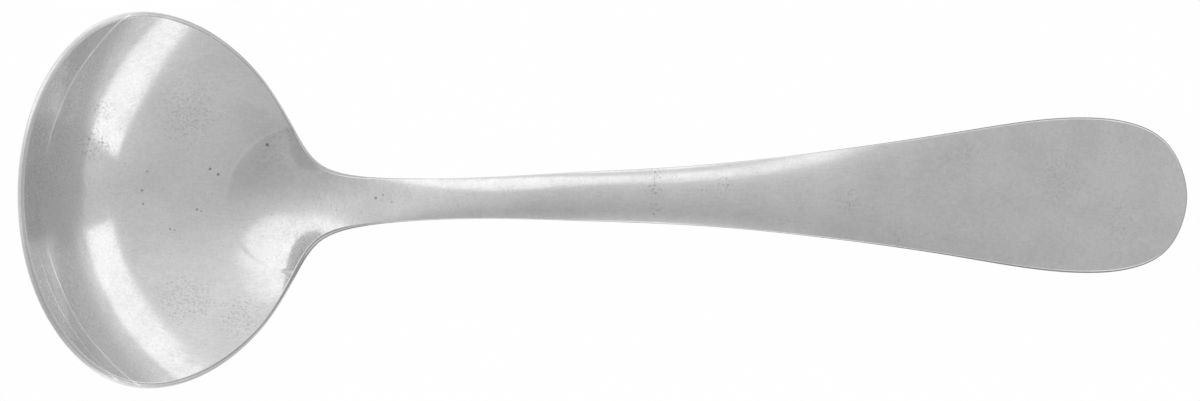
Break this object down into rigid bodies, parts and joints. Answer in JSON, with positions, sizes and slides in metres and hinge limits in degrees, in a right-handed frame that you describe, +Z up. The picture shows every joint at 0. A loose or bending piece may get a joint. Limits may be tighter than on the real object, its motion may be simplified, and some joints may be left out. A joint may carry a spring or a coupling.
{
  "type": "cream ladle",
  "caption": "Small plain silver ladle: a deep crosswise-oval bowl on an arched handle that swells to a flat round-ended blade, for serving cream or sauce.",
  "frame": {"origin": "middle of the ladle's box in plan, on the surface it lies on", "axes": "+X from the bowl to the tip of the handle, +Z up, as the ladle lies at rest"},
  "size_m": [0.13, 0.042, 0.0228],
  "materials": {
    "silver": "polished silver, worn bright, with fine scratches and small pits"
  },
  "bodies": {
    "root": {"ladle": "silver"}
  },
  "joints": []
}
